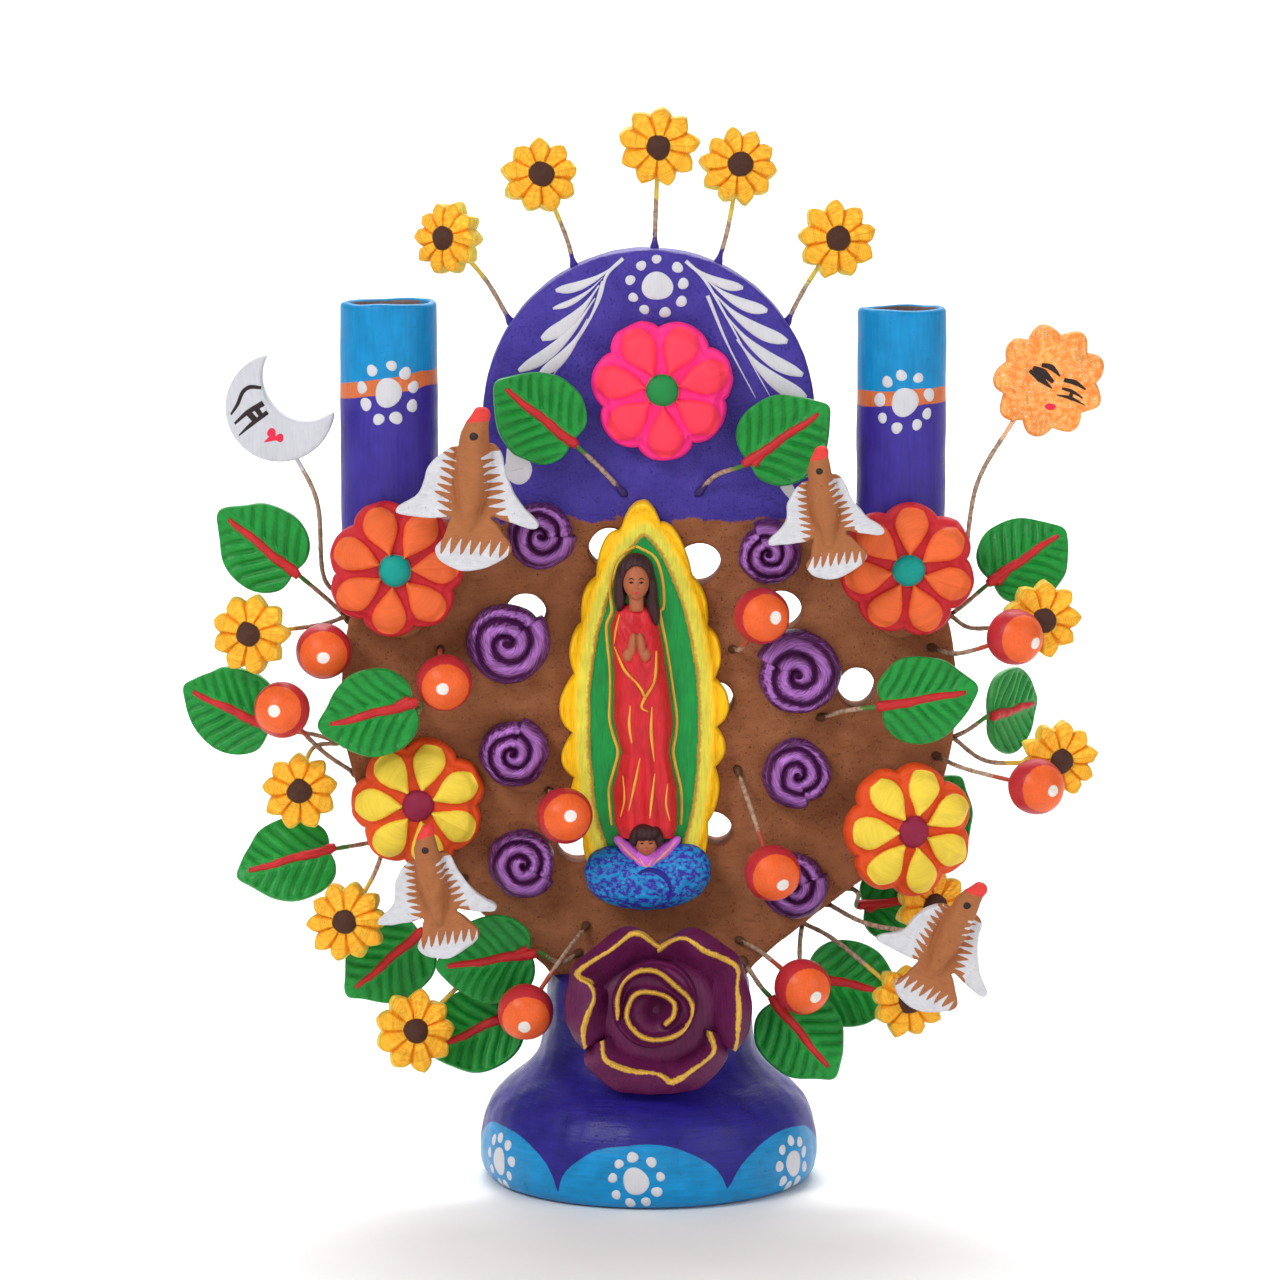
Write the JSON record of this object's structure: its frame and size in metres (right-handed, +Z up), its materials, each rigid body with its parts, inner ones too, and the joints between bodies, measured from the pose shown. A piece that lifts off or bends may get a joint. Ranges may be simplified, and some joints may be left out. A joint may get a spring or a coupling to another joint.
{
  "type": "clay tree of life candle holder",
  "caption": "Clay tree of life: an arched panel on a bell-shaped base, with two candle sockets, a relief plaque, roses and flowers, and birds, fruit, leaves, a moon and a sun on wires.",
  "frame": {"origin": "on the base's axis, at the surface that the base stands on", "axes": "+Z up, -Y towards the front, +X to the right of someone who looks at the front"},
  "size_m": [0.2459, 0.092, 0.2906],
  "materials": {
    "violet_blue_paint": "satin",
    "brown_clay": "matte",
    "pink_paint": "matte",
    "orange_paint": "matte",
    "yellow_paint": "matte",
    "purple_paint": "satin",
    "burgundy_paint": "satin",
    "plaque_paint": "satin",
    "figure_paint": "satin",
    "cloud_paint": "satin",
    "bird_clay": "matte",
    "fruit_paint": "satin",
    "daisy_paint": "matte",
    "leaf_paint": "satin",
    "moon_paint": "satin",
    "sun_paint": "matte"
  },
  "bodies": {
    "root": {"base": "violet_blue_paint", "back_panel": "brown_clay", "candle_socket_left": "violet_blue_paint", "candle_socket_right": "violet_blue_paint", "pink_flower": "pink_paint", "orange_flower_left": "orange_paint", "orange_flower_right": "orange_paint", "yellow_flower_left": "yellow_paint", "yellow_flower_right": "yellow_paint", "rose_left_1": "purple_paint", "rose_left_2": "purple_paint", "rose_left_3": "purple_paint", "rose_left_4": "purple_paint", "rose_right_1": "purple_paint", "rose_right_2": "purple_paint", "rose_right_3": "purple_paint", "rose_right_4": "purple_paint", "large_rose": "burgundy_paint", "plaque": "plaque_paint", "robed_figure": "figure_paint", "cloud_and_angel": "cloud_paint", "bird_upper_left": "bird_clay", "bird_upper_right": "bird_clay", "bird_lower_left": "bird_clay", "bird_lower_right": "bird_clay", "fruit_left_1": "fruit_paint", "fruit_left_2": "fruit_paint", "fruit_left_3": "fruit_paint", "fruit_left_4": "fruit_paint", "fruit_left_5": "fruit_paint", "fruit_right_1": "fruit_paint", "fruit_right_2": "fruit_paint", "fruit_right_3": "fruit_paint", "fruit_right_4": "fruit_paint", "fruit_right_5": "fruit_paint", "daisy_top_1": "daisy_paint", "daisy_top_2": "daisy_paint", "daisy_top_3": "daisy_paint", "daisy_top_4": "daisy_paint", "daisy_top_5": "daisy_paint", "leaf_arch_left": "leaf_paint", "leaf_arch_right": "leaf_paint", "leaf_left_1": "leaf_paint", "leaf_left_2": "leaf_paint", "leaf_left_3": "leaf_paint", "leaf_right_1": "leaf_paint", "leaf_right_2": "leaf_paint", "leaf_right_3": "leaf_paint", "spray_left_1": "leaf_paint", "spray_left_2": "leaf_paint", "spray_left_3": "leaf_paint", "spray_left_4": "leaf_paint", "spray_right_1": "leaf_paint", "spray_right_2": "leaf_paint", "spray_right_3": "leaf_paint", "spray_right_4": "leaf_paint", "moon": "moon_paint", "sun": "sun_paint"}
  },
  "joints": []
}
